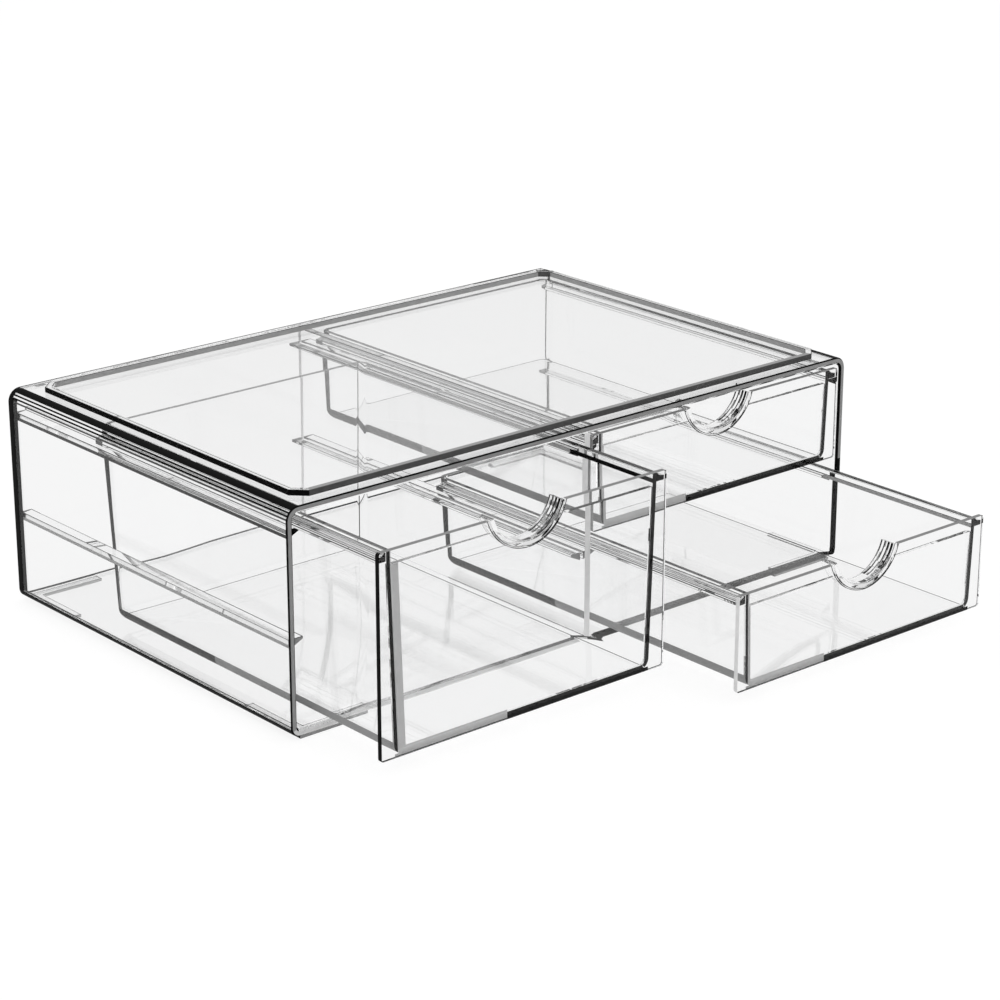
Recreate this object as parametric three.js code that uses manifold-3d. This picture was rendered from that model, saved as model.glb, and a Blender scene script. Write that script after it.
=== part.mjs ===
// Clear acrylic drawer organizer: an open-fronted casing that holds one deep drawer on the left and
// two shallow drawers, one above the other, on the right.
// Lengths are millimetres. +Z is up, the fronts face -Y and +X is to the right seen from the front.
// The origin is on the table, under the middle of everything that stands on it or hangs out over it.
import * as THREE from "three";
import { mergeVertices } from "three/addons/utils/BufferGeometryUtils.js";
import Module from "manifold-3d";

// Casing
const casingWidth = 318;
const casingDepth = 205;
const casingHeight = 98.5;
const casingWall = 3.3;
const casingOuterBevel = 1;
const casingInnerBevel = 0.3;
const casingTopRadius = 6;
const casingBottomRadius = 4.5;
const partitionThickness = 3.2;

// Stacking ridge on the top panel
const ridgeHeight = 2.6;
const ridgeWidth = 3;
const ridgeSideInset = 10;
const ridgeFrontInset = 6;
const ridgeBackInset = 9;
const ridgeChamfer = 6;

// Feet, which drop outside the ridge of the unit below
const footHeight = 1.5;
const footArmWidth = 4.5;
const footArmAcross = 36;
const footArmDeep = 36;
const stackingClearance = 0.7;

// Runners on the casing's walls and on the partition
const runnerWidth = 5.5;
const runnerTipDepth = 1.2;
const runnerRootDepth = 3.8;
const closedStopGap = 0.5;

// Drawer fronts
const frontThickness = 2.2;
const frontCornerRadius = 1.5;
const frontSideGap = 1.3;
const frontTopGap = 1.6;
const deepFrontBottomGap = 2.9;
const lowerFrontBottomGap = 0.5;
const tierGap = 3.4;

// Drawer tubs
const tubWall = 2.2;
const tubFloor = 2.2;
const tubDraftAngle = 2;
const tubBottomRadius = 4.5;
const tubBackRadius = 4.5;
const tubBackGap = 4.7;
const tubLift = 0.6;
const tubRimDrop = 0.4;
const tubFrontWallDrop = 6.4;

// Drawer rails, which slide along the runners
const railWidth = 4.4;
const railTipHeight = 2.2;
const railRootThickness = 0.9;
const railDrop = 4.8;
const railRimStep = 0.6;
const railSideSetIn = 0.4;
const runningGap = 0.3;

// Finger pulls
const pullRadius = 20.8;
const pullCentreRise = 5.5;
const pullThickness = 2.5;
const pullDepth = 8;
const pullFitGap = 0.3;

// How far each drawer stands out of the casing
const deepDrawerOut = 52;
const lowerDrawerOut = 90;
const upperDrawerOut = 0;

// Facets on rounded stretches, and how far a cutter runs past what it cuts
const cornerSteps = 6;
const curveSteps = 28;
const cutterOverrun = 1;

// Colours of the clear plastic, each seen on pieces of its own kind
const casingColour = 0xf1f3f4;
const runnerColour = 0xe3e7ea;
const drawerColour = 0xf4f5f6;
const pullColour = 0xdde2e6;
const plasticRoughness = 0.08;
const plasticOpacity = 0.35;

// Places that follow from the sizes above
const halfWidth = casingWidth / 2;
const halfDepth = casingDepth / 2;
const backPanelFace = halfDepth - casingWall;
const openingBottom = casingWall;
const openingTop = casingHeight - casingWall;
const bayWidth = halfWidth - casingWall - partitionThickness / 2;
const bayCentre = (partitionThickness + bayWidth) / 2;

const frontWidth = bayWidth - frontSideGap - frontSideGap;
const frontTop = openingTop - frontTopGap;
const deepFrontBottom = openingBottom + deepFrontBottomGap;
const lowerFrontBottom = openingBottom + lowerFrontBottomGap;
const deepFrontHeight = frontTop - deepFrontBottom;
const shallowFrontHeight = (frontTop - lowerFrontBottom - tierGap) / 2;
const upperFrontBottom = frontTop - shallowFrontHeight;

const runnerLength = casingDepth - casingWall - frontThickness - closedStopGap;
const runnerFront = backPanelFace - runnerLength;
const runnerDrop = railDrop + runningGap;
const upperRunnerTop = frontTop - runnerDrop;
const lowerRunnerTop = lowerFrontBottom + shallowFrontHeight - runnerDrop;

const tubLength = casingDepth - casingWall - tubBackGap - frontThickness;
const tubHalfWidth = frontWidth / 2 - railSideSetIn - railWidth;
const railRootHeight = railDrop - tubRimDrop - railRimStep;
const railLength = tubLength - tubBackRadius;

const wasm = await Module();
wasm.setup();

// A closed geometry as a solid that can be cut
function solidOf(geometry) {
  const bare = geometry.clone();
  bare.deleteAttribute("normal");
  bare.deleteAttribute("uv");
  const merged = mergeVertices(bare);
  const vertProperties = new Float32Array(merged.getAttribute("position").array);
  const triVerts = new Uint32Array(merged.getIndex().array);
  return new wasm.Manifold(new wasm.Mesh({ numProp: 3, vertProperties, triVerts }));
}

// A geometry with other geometries cut out of it
function cut(body, cutters) {
  let solid = solidOf(body);
  for (const cutter of cutters) {
    solid = solid.subtract(solidOf(cutter));
  }
  const mesh = solid.getMesh();
  const geometry = new THREE.BufferGeometry();
  geometry.setAttribute("position", new THREE.BufferAttribute(mesh.vertProperties, mesh.numProp));
  geometry.setIndex(new THREE.BufferAttribute(mesh.triVerts, 1));
  geometry.computeVertexNormals();
  return geometry;
}

// A flat outline raised from z = 0
function raised(outline, height, steps = cornerSteps) {
  return new THREE.ExtrudeGeometry(outline, { depth: height, bevelEnabled: false, curveSegments: steps });
}

// An outline seen from the front, run back from y = 0
function runBack(outline, length, steps = cornerSteps) {
  const geometry = raised(outline, length, steps);
  geometry.rotateX(Math.PI / 2);
  geometry.translate(0, length, 0);
  return geometry;
}

function pieceMesh(name, geometry, colour) {
  const material = new THREE.MeshStandardMaterial({
    color: colour,
    roughness: plasticRoughness,
    metalness: 0,
    transparent: true,
    opacity: plasticOpacity,
  });
  const mesh = new THREE.Mesh(geometry, material);
  mesh.name = name;
  return mesh;
}

// The casing's outline seen from the front, drawn in from its outer faces by an inset
function casingOutline(inset) {
  const right = halfWidth - inset;
  const bottom = inset;
  const top = casingHeight - inset;
  const low = casingBottomRadius - inset;
  const high = casingTopRadius - inset;
  const outline = new THREE.Shape();
  outline.moveTo(low - right, bottom);
  outline.absarc(right - low, bottom + low, low, -Math.PI / 2, 0, false);
  outline.absarc(right - high, top - high, high, 0, Math.PI / 2, false);
  outline.absarc(high - right, top - high, high, Math.PI / 2, Math.PI, false);
  outline.absarc(low - right, bottom + low, low, Math.PI, (3 * Math.PI) / 2, false);
  return outline;
}

function backPanel() {
  const mesh = pieceMesh("back_panel", runBack(casingOutline(0), casingWall), casingColour);
  mesh.position.y = backPanelFace;
  return mesh;
}

function partition() {
  const height = openingTop - openingBottom;
  const depth = casingDepth - casingWall;
  const geometry = new THREE.BoxGeometry(partitionThickness, depth, height);
  const mesh = pieceMesh("partition", geometry, casingColour);
  mesh.position.set(0, backPanelFace - depth / 2, openingBottom + height / 2);
  return mesh;
}

// The ridge's outline seen from above, drawn in by an inset: a rectangle with its corners cut off
function ridgeOutline(kind, inset) {
  const right = halfWidth - ridgeSideInset - inset;
  const front = ridgeFrontInset + inset - halfDepth;
  const back = halfDepth - ridgeBackInset - inset;
  const chamfer = ridgeChamfer - inset * (2 - Math.SQRT2);
  const corners = [
    [chamfer - right, front],
    [right - chamfer, front],
    [right, front + chamfer],
    [right, back - chamfer],
    [right - chamfer, back],
    [chamfer - right, back],
    [-right, back - chamfer],
    [-right, front + chamfer],
  ];
  return new kind(corners.map(([x, y]) => new THREE.Vector2(x, y)));
}

function stackingRidge() {
  const outline = ridgeOutline(THREE.Shape, 0);
  outline.holes.push(ridgeOutline(THREE.Path, ridgeWidth));
  const mesh = pieceMesh("stacking_ridge", raised(outline, ridgeHeight), casingColour);
  mesh.position.z = casingHeight;
  return mesh;
}

// An L-shaped foot under one corner; acrossSign is +1 on the right, deepSign is +1 at the back
function foot(name, acrossSign, deepSign) {
  const ridgeInset = deepSign > 0 ? ridgeBackInset : ridgeFrontInset;
  const innerAcross = halfWidth - ridgeSideInset + stackingClearance;
  const innerDeep = halfDepth - ridgeInset + stackingClearance;
  const outerAcross = innerAcross + footArmWidth;
  const outerDeep = innerDeep + footArmWidth;
  const corners = [
    [outerAcross, outerDeep],
    [outerAcross - footArmAcross, outerDeep],
    [outerAcross - footArmAcross, innerDeep],
    [innerAcross, innerDeep],
    [innerAcross, outerDeep - footArmDeep],
    [outerAcross, outerDeep - footArmDeep],
  ];
  const outline = new THREE.Shape(corners.map(([x, y]) => new THREE.Vector2(acrossSign * x, deepSign * y)));
  const mesh = pieceMesh(name, raised(outline, footHeight), casingColour);
  mesh.position.z = -footHeight;
  return mesh;
}

function feet() {
  return [
    foot("foot_front_left", -1, -1),
    foot("foot_front_right", 1, -1),
    foot("foot_back_left", -1, 1),
    foot("foot_back_right", 1, 1),
  ];
}

// A ledge with a flat top and a sloping underside; side is +1 where it sticks out towards +X
function runner(name, wallFace, side, top) {
  const corners = [
    [0, 0],
    [0, -runnerRootDepth],
    [side * runnerWidth, -runnerTipDepth],
    [side * runnerWidth, 0],
  ];
  const outline = new THREE.Shape(corners.map(([x, z]) => new THREE.Vector2(x, z)));
  const mesh = pieceMesh(name, runBack(outline, runnerLength), runnerColour);
  mesh.position.set(wallFace, runnerFront, top);
  return mesh;
}

// Two tiers of runners on each of the four upright faces
function runners() {
  const wallFace = halfWidth - casingWall;
  const faces = [
    { place: "left_wall", face: -wallFace, side: 1 },
    { place: "partition_left", face: -partitionThickness / 2, side: -1 },
    { place: "partition_right", face: partitionThickness / 2, side: 1 },
    { place: "right_wall", face: wallFace, side: -1 },
  ];
  const tiers = [
    { tier: "upper", top: upperRunnerTop },
    { tier: "lower", top: lowerRunnerTop },
  ];
  return faces.flatMap(({ place, face, side }) =>
    tiers.map(({ tier, top }) => runner(`runner_${place}_${tier}`, face, side, top)),
  );
}

// A front plate with a round bite out of its top edge for the finger pull
function drawerFront(name, height) {
  const halfAcross = frontWidth / 2;
  const radius = frontCornerRadius;
  const biteRadius = pullRadius + pullFitGap;
  const biteAngle = Math.asin(pullCentreRise / biteRadius);
  const outline = new THREE.Shape();
  outline.moveTo(radius - halfAcross, 0);
  outline.absarc(halfAcross - radius, radius, radius, -Math.PI / 2, 0, false);
  outline.absarc(halfAcross - radius, height - radius, radius, 0, Math.PI / 2, false);
  outline.absarc(0, height + pullCentreRise, biteRadius, -biteAngle, biteAngle - Math.PI, true);
  outline.absarc(radius - halfAcross, height - radius, radius, Math.PI / 2, Math.PI, false);
  outline.absarc(radius - halfAcross, radius, radius, Math.PI, (3 * Math.PI) / 2, false);
  return pieceMesh(`${name}_front`, runBack(outline, frontThickness, curveSteps), drawerColour);
}

// A curved lip that lines the bite and runs back over the tub
function fingerPull(name, height) {
  const innerRadius = pullRadius - pullThickness;
  const outerAngle = Math.asin(pullCentreRise / pullRadius);
  const innerAngle = Math.asin(pullCentreRise / innerRadius);
  const centre = height + pullCentreRise;
  const outline = new THREE.Shape();
  outline.absarc(0, centre, pullRadius, outerAngle - Math.PI, -outerAngle, false);
  outline.absarc(0, centre, innerRadius, -innerAngle, innerAngle - Math.PI, true);
  return pieceMesh(`${name}_pull`, runBack(outline, pullDepth, curveSteps), pullColour);
}

// One level of a tub seen from above: square front corners, round back corners
function tubLevel(halfAcross, front, back, radius, z) {
  const points = [
    [-halfAcross, front, z],
    [halfAcross, front, z],
  ];
  for (const [side, start] of [[1, 0], [-1, Math.PI / 2]]) {
    for (let step = 0; step <= cornerSteps; step += 1) {
      const angle = start + (step / cornerSteps) * (Math.PI / 2);
      const x = side * (halfAcross - radius) + radius * Math.cos(angle);
      points.push([x, back - radius + radius * Math.sin(angle), z]);
    }
  }
  return points;
}

// A closed skin over a stack of levels that all have the same number of points
function lofted(levels) {
  const count = levels[0].length;
  const indices = [];
  for (let level = 0; level + 1 < levels.length; level += 1) {
    for (let point = 0; point < count; point += 1) {
      const a = level * count + point;
      const b = level * count + ((point + 1) % count);
      indices.push(a, b, b + count, a, b + count, a + count);
    }
  }
  const lastLevel = (levels.length - 1) * count;
  for (let point = 1; point + 1 < count; point += 1) {
    indices.push(0, point + 1, point);
    indices.push(lastLevel, lastLevel + point, lastLevel + point + 1);
  }
  const geometry = new THREE.BufferGeometry();
  geometry.setAttribute("position", new THREE.Float32BufferAttribute(levels.flat(2), 3));
  geometry.setIndex(indices);
  return geometry;
}

// The casing's outline drawn in by each inset at its place along the depth, joined into one block
function casingBlock(stations) {
  const levels = stations.map(({ inset, back }) =>
    casingOutline(inset)
      .getPoints(cornerSteps)
      .map(({ x, y }) => [x, y, -back]),
  );
  const block = lofted(levels);
  block.rotateX(Math.PI / 2);
  return block;
}

// Top, bottom and both sides, bent from one sheet; its front edge is bevelled outside and inside
function casingSleeve() {
  const length = casingDepth - casingWall;
  const outside = casingBlock([
    { inset: 0, back: length },
    { inset: 0, back: casingOuterBevel },
    { inset: casingOuterBevel, back: 0 },
  ]);
  const inside = casingBlock([
    { inset: casingWall, back: length + cutterOverrun },
    { inset: casingWall, back: casingInnerBevel },
    { inset: casingWall - casingInnerBevel - cutterOverrun, back: -cutterOverrun },
  ]);
  const mesh = pieceMesh("casing_sleeve", cut(outside, [inside]), casingColour);
  mesh.position.y = -halfDepth;
  return mesh;
}

// A box that tapers downwards below its straight top band and is round along its bottom edges
function taperedBox({ halfAcross, front, back, bottom, bandBottom, top, bottomRadius, backRadius }) {
  const slope = Math.tan(THREE.MathUtils.degToRad(tubDraftAngle));
  const levels = [];
  for (let step = 0; step <= cornerSteps; step += 1) {
    const angle = (step / cornerSteps) * (Math.PI / 2);
    const z = bottom + bottomRadius * (1 - Math.cos(angle));
    const inset = bottomRadius * (1 - Math.sin(angle)) + slope * (bandBottom - z);
    levels.push(tubLevel(halfAcross - inset, front, back - inset, backRadius, z));
  }
  levels.push(tubLevel(halfAcross, front, back, backRadius, bandBottom));
  levels.push(tubLevel(halfAcross, front, back, backRadius, top));
  return lofted(levels);
}

// A tub of thin walls; its front wall is bonded to the front plate and is lower than its sides
function drawerTub(name, height) {
  const rim = height - tubRimDrop;
  const bandBottom = height - railDrop;
  const innerHalf = tubHalfWidth - tubWall;
  const innerFront = frontThickness + tubWall;
  const frontWallTop = height - tubFrontWallDrop;
  const outside = taperedBox({
    halfAcross: tubHalfWidth,
    front: frontThickness,
    back: frontThickness + tubLength,
    bottom: tubLift,
    bandBottom,
    top: rim,
    bottomRadius: tubBottomRadius,
    backRadius: tubBackRadius,
  });
  const inside = taperedBox({
    halfAcross: innerHalf,
    front: innerFront,
    back: frontThickness + tubLength - tubWall,
    bottom: tubLift + tubFloor,
    bandBottom,
    top: rim + cutterOverrun,
    bottomRadius: tubBottomRadius - tubWall,
    backRadius: tubBackRadius - tubWall,
  });
  const reliefDepth = tubWall + cutterOverrun + cutterOverrun;
  const reliefHeight = rim + cutterOverrun - frontWallTop;
  const relief = new THREE.BoxGeometry(innerHalf + innerHalf, reliefDepth, reliefHeight);
  relief.translate(0, frontThickness + tubWall / 2, frontWallTop + reliefHeight / 2);
  const biteRadius = pullRadius + pullFitGap;
  const bite = new THREE.CylinderGeometry(biteRadius, biteRadius, reliefDepth, curveSteps + curveSteps);
  bite.translate(0, frontThickness + tubWall / 2, height + pullCentreRise);
  return pieceMesh(`${name}_tub`, cut(outside, [inside, relief, bite]), drawerColour);
}

// A rail along the outside of the tub's straight top band; side is +1 on the right
function drawerRail(name, side, height) {
  const hollowWidth = railWidth - railRootThickness;
  const hollowHeight = railRootHeight - railTipHeight;
  const outline = new THREE.Shape();
  outline.moveTo(0, 0);
  outline.lineTo(railWidth, 0);
  outline.lineTo(railWidth, railTipHeight);
  outline.absellipse(railWidth, railRootHeight, hollowWidth, hollowHeight, -Math.PI / 2, -Math.PI, true, 0);
  outline.lineTo(0, railRootHeight);
  const geometry = runBack(outline, railLength);
  if (side < 0) {
    geometry.rotateZ(Math.PI);
    geometry.translate(0, railLength, 0);
  }
  const mesh = pieceMesh(`${name}_rail_${side < 0 ? "left" : "right"}`, geometry, drawerColour);
  mesh.position.set(side * tubHalfWidth, frontThickness, height - railDrop);
  return mesh;
}

// A whole drawer; its own origin is at the bottom middle of the front plate's face
function drawer(name, height, bottom, centre, out) {
  const group = new THREE.Group();
  group.add(drawerTub(name, height));
  group.add(drawerFront(name, height));
  group.add(fingerPull(name, height));
  group.add(drawerRail(name, -1, height));
  group.add(drawerRail(name, 1, height));
  group.position.set(centre, -halfDepth - out, bottom);
  return group;
}

function drawers() {
  return [
    drawer("deep_drawer", deepFrontHeight, deepFrontBottom, -bayCentre, deepDrawerOut),
    drawer("lower_drawer", shallowFrontHeight, lowerFrontBottom, bayCentre, lowerDrawerOut),
    drawer("upper_drawer", shallowFrontHeight, upperFrontBottom, bayCentre, upperDrawerOut),
  ];
}

const organizer = new THREE.Group();
organizer.add(casingSleeve(), backPanel(), partition(), stackingRidge());
organizer.add(...feet());
organizer.add(...runners());
organizer.add(...drawers());
organizer.position.set(0, Math.max(deepDrawerOut, lowerDrawerOut, upperDrawerOut) / 2, footHeight);

export default organizer;
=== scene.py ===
"""Clear drawer organizer: dressed pieces, finishes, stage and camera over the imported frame.

Lengths are metres. +Z is up, the drawer fronts face -Y and +X is to the right seen from the front.
"""
import math
from contextlib import contextmanager
from functools import partial

import bmesh
import bpy
from bpy.props import FloatProperty, FloatVectorProperty, PointerProperty
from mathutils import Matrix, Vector


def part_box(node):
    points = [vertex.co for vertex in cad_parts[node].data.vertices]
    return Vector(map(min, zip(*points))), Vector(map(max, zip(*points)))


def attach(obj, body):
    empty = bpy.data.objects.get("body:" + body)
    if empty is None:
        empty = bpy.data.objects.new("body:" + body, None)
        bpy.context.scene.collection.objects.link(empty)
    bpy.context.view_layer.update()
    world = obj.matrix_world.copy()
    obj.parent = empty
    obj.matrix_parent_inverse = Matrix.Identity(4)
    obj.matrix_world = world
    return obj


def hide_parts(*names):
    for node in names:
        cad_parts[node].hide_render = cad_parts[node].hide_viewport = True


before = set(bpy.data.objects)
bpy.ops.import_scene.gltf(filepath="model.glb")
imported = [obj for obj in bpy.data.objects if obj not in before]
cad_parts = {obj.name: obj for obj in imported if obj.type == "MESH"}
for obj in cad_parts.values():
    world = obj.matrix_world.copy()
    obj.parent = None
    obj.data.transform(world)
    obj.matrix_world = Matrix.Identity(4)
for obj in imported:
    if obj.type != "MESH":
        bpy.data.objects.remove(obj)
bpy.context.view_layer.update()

bl_info = {
    "name": "Clear Drawer Organizer",
    "version": (1, 0, 0),
    "blender": (4, 5, 0),
    "location": "3D View > Sidebar > Organizer",
    "description": "Builds a clear three-drawer organizer with its stage and camera",
    "category": "Add Mesh",
}

X, Y, Z = Vector((1, 0, 0)), Vector((0, 1, 0)), Vector((0, 0, 1))
DRAWERS = ("deep_drawer", "lower_drawer", "upper_drawer")

# For each drawer: where the painted shade on its front bottom edge turns dark, as a share of its width, and
# how far from the side the painted dark end and painted pale band beside it reach, as shares of the tub's
# wall.
EDGE_TURN_SHARES = {"deep_drawer": 0.43, "lower_drawer": 0.34, "upper_drawer": 0.37}
DARK_END_SHARES = {"deep_drawer": 0.75, "lower_drawer": 0.6, "upper_drawer": 0.5}
PALE_END_SHARES = {"deep_drawer": 2.55, "lower_drawer": 1.25, "upper_drawer": 1.2}

# The light and shade painted on each face is kept in this attribute as a brightness. An arris between clear
# faces gets its own, a thin painted dark line.
SHADE = "edge_shade"
ARRIS_SHADE = 0.006

# A face counts as flat where its normal is this straight, and as lying on a plane where it is this near.
STRAIGHT = 0.999
NEAR = 0.0001

# The plastic: its refraction, the share of its reflection that is kept, and what a hair scratch adds.
ACRYLIC_IOR = 1.49
GLEAM = 0.06
SCRATCH_ROUGHNESS = 0.12
SCRATCH_DEPTH = 0.0000015

# For each material slot: its plastic's name and marks, and the name of its material for cut edges and painted
# light and shade, with how strong its saw lines are.
FINISHES = {
    "casing_clear": ("Casing clear", {"swell": 0.000012}, "Casing cut edge and painted shade", 0.25),
    "ridge_clear": ("Ridge clear", {"swell": 0.000008, "marks": 0.7}, "Ridge cut edge and painted shade", 0.2),
    "foot_clear": ("Foot clear", {"swell": 0.000008, "marks": 0.9, "smudges": 0.6}, "Foot cut edge and painted shade", 0.3),
    "runner_clear": ("Runner clear", {"swell": 0.000004, "marks": 0.35}, "Runner cut edge and painted shade", 0.25),
    "tub_clear": ("Tub clear", {"swell": 0.00001, "scale": 24, "marks": 0.6}, "Tub moulded edge and painted shade", 0.15),
    "front_clear": ("Front clear", {"swell": 0.000006, "marks": 0.4, "smudges": 0.5}, "Front cut edge and painted shade", 0.25),
    "pull_clear": ("Pull clear", {"swell": 0.0001, "scale": 160, "marks": 0.6}, "Pull edge and painted shade", 0.8),
    "rail_clear": ("Rail clear", {"swell": 0.000004, "marks": 0.3}, "Rail end and painted shade", 0.3),
}

# The camera, solved from the casing's corners in the photograph, and the lamps' places and watts.
CAMERA_PLACE = (-0.8001, -0.9338, 0.4908)
CAMERA_TARGET = (0.0390, 0.0450, 0.0299)
CAMERA_LENS = 106.04
LAMPS = {"Key": ((-0.9, -0.5, 1.5), 7), "Fill": ((1.1, -0.9, 0.9), 3)}
LAMP_TARGET = (0, 0, 0.05)
LAMP_WIDTH = 1.2
LIGHT_BOUNCES = 64


def node_size(node, axis):
    """How far a CAD node reaches along one axis."""
    low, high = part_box(node)
    return high[axis] - low[axis]


# Sizes and colours

length = partial(FloatProperty, unit="LENGTH")
brightness = partial(FloatProperty, subtype="FACTOR", min=0, max=1)
tint = partial(FloatVectorProperty, subtype="COLOR", size=3, min=0, max=1)


class OrganizerSizes(bpy.types.PropertyGroup):
    """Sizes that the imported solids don't give, or give only as a whole"""

    bond_film: length(
        name="Bond film",
        description="Clear gap between two bonded faces, so that light passes cleanly from one to the other",
        default=0.00003,
    )
    arris: length(
        name="Arris", description="Width of the small flat that breaks each sharp edge", default=0.0002
    )
    sheet: length(
        name="Sheet", description="Thickness of the casing's bent sheet", default=node_size("back_panel", 1)
    )
    top_radius: length(
        name="Top bend radius",
        description="Outer radius of the bends along the casing's top",
        default=0.006,
    )
    bottom_radius: length(
        name="Bottom bend radius",
        description="Outer radius of the bends along the casing's bottom",
        default=0.0045,
    )
    # A painted dark line of shade runs along the partition's top; this is its height.
    shade_line_height: length(
        name="Shade line height", description="Height of the dark seam along the partition's top", default=0.0005
    )
    outer_bevel: length(
        name="Outer bevel", description="Bevel round the outside of the casing's front edge", default=0.001
    )
    inner_bevel: length(
        name="Inner bevel", description="Bevel round the inside of the casing's front edge", default=0.0006
    )
    ridge_width: length(
        name="Ridge width", description="Width of the stacking ridge", default=0.003
    )
    ridge_chamfer: length(
        name="Ridge chamfer", description="How far the ridge's outer corners are cut off", default=0.006
    )
    runner_tip: length(
        name="Runner tip", description="Height of a runner at its free edge", default=0.0012
    )
    foot_arm: length(
        name="Foot arm", description="Width of a foot's two arms", default=0.0045
    )
    plate_radius: length(
        name="Plate corner radius", description="Radius of a front plate's corners", default=0.0015
    )
    pull_radius: length(
        name="Pull radius", description="Outer radius of a finger pull", default=0.0208
    )
    pull_rise: length(
        name="Pull centre rise",
        description="Height of a pull's centre over its plate's top edge",
        default=0.0055,
    )
    pull_thickness: length(
        name="Pull thickness", description="Thickness of a finger pull's lip", default=0.0025
    )
    pull_rounding: length(
        name="Pull rounding", description="Radius of the round edges of a finger pull's lip", default=0.0007
    )
    pull_gap: length(
        name="Pull fit gap", description="Gap round a finger pull in its plate", default=0.0003
    )
    tub_wall: length(
        name="Tub wall", description="Thickness of a tub's walls and floor", default=0.0022
    )
    # A band of painted shade runs inside a tub's right wall; this is its height.
    tub_band: length(
        name="Tub band",
        description="Height of the band that is painted inside a tub's right wall",
        default=0.0017,
    )
    tub_radius: length(
        name="Tub edge radius",
        description="Outer radius of a tub's bottom edges and back corners",
        default=0.0045,
    )
    tub_draft: FloatProperty(
        name="Tub draft",
        description="Lean of a tub's walls",
        default=math.radians(2),
        unit="ROTATION",
    )
    front_wall_drop: length(
        name="Front wall drop",
        description="How far a tub's front wall stays below the top of its plate",
        default=0.0064,
    )
    rail_tip: length(
        name="Rail tip", description="Height of a rail at its outer edge", default=0.0022
    )
    rail_root: length(
        name="Rail root", description="Thickness of a rail's upright part", default=0.0009
    )


class OrganizerColours(bpy.types.PropertyGroup):
    """Colours of the clear plastic, of the light and shade painted on its edges, and of the stage"""

    clear: tint(
        name="Clear plastic",
        description="Tint that light takes on as it passes a face",
        default=(0.999, 0.9995, 1.0),
    )
    smudge: tint(
        name="Smudge",
        description="Tint where the plastic is faintly smudged",
        default=(0.985, 0.986, 0.988),
    )
    # The brightnesses from the dark edge to the pale edge are painted light and shade: the dark lines, grey
    # bands and soft pale glows of the clear plastic, painted onto faces.
    dark: brightness(
        name="Dark edge",
        description="Brightness of an edge that sends no light to the front",
        default=0.003,
    )
    slate: brightness(
        name="Slate edge", description="Brightness of the ridge's front face", default=0.075
    )
    grey: brightness(
        name="Grey edge", description="Brightness of the casing's front end face", default=0.245
    )
    silver: brightness(
        name="Silver edge", description="Brightness of the ridge's inner faces", default=0.32
    )
    pale: brightness(
        name="Pale edge", description="Brightness of an edge that glows softly", default=0.5
    )
    backdrop: brightness(
        name="Backdrop through plastic",
        description="Brightness of the white surroundings where they are seen through the plastic",
        default=0.925,
    )


def sizes():
    return bpy.context.scene.organizer_sizes


def colours():
    return bpy.context.scene.organizer_colours


# Nodes


def add(tree, kind, inputs=None, **settings):
    """A new node with its settings, and with each input linked to a socket or set to a value."""
    node = tree.nodes.new(kind)
    for label, setting in settings.items():
        setattr(node, label, setting)
    for label, value in (inputs or {}).items():
        if isinstance(value, bpy.types.NodeSocket):
            tree.links.new(value, node.inputs[label])
        else:
            node.inputs[label].default_value = value
    return node


def math_node(tree, operation, *operands):
    """The result of a Math node on sockets and numbers."""
    return add(tree, "ShaderNodeMath", dict(enumerate(operands)), operation=operation).outputs[0]


def new_group(kind, name, inputs, outputs):
    """An empty node group, with the sockets that lead into it and the ones that lead out of it.

    Inputs give each socket's kind and default value, and outputs each socket's kind.
    """
    group = bpy.data.node_groups.new(name, kind)
    new_socket = group.interface.new_socket
    for label, (socket, value) in inputs.items():
        item = new_socket(name=label, in_out="INPUT", socket_type="NodeSocket" + socket)
        if value is not None:
            item.default_value = value
    for label, socket in outputs.items():
        new_socket(name=label, in_out="OUTPUT", socket_type="NodeSocket" + socket)
    return group, add(group, "NodeGroupInput").outputs, add(group, "NodeGroupOutput").inputs


# Finishes


def spread(tree, value, low, high):
    """A value carried from a range onto 0 to 1, and held inside it."""
    inputs = {"Value": value, "From Min": low, "From Max": high}
    return add(tree, "ShaderNodeMapRange", inputs).outputs["Result"]


def noise(tree, vector, scale, detail, roughness=0.5):
    inputs = {"Vector": vector, "Scale": scale, "Detail": detail, "Roughness": roughness}
    return add(tree, "ShaderNodeTexNoise", inputs).outputs["Fac"]


def streaks(tree, vector, stretch, turn, detail=2):
    """Noise that is stretched and turned into streaks."""
    mapping = add(tree, "ShaderNodeMapping", {"Vector": vector, "Scale": stretch, "Rotation": turn})
    return noise(tree, mapping.outputs["Vector"], 1, detail)


def rub_marks_group(name):
    """Fine hair scratches in two directions, thin and broken up."""
    inputs = {"Vector": ("Vector", None), "Amount": ("Float", 0.5)}
    group, entry, leave = new_group("ShaderNodeTree", name, inputs, {"Height": "Float", "Mask": "Float"})
    vector = entry["Vector"]
    one_way = spread(group, streaks(group, vector, (900, 22, 900), (0, 0, 0.35)), 0.66, 0.74)
    other_way = spread(group, streaks(group, vector, (26, 1100, 1000), (0, 0.2, -0.25)), 0.68, 0.76)
    patches = spread(group, noise(group, vector, 30, 3), 0.48, 0.66)
    lines = math_node(group, "MAXIMUM", one_way, other_way)
    mask = math_node(group, "MULTIPLY", lines, patches)
    mask = math_node(group, "MULTIPLY", mask, entry["Amount"])
    group.links.new(mask, leave["Mask"])
    group.links.new(math_node(group, "MULTIPLY", mask, -1), leave["Height"])
    return group


def waviness_group(name):
    """The slow swell of a cast or moulded sheet."""
    inputs = {"Vector": ("Vector", None), "Scale": ("Float", 18)}
    group, entry, leave = new_group("ShaderNodeTree", name, inputs, {"Height": "Float"})
    group.links.new(noise(group, entry["Vector"], entry["Scale"], 1.5, 0.4), leave["Height"])
    return group


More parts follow.
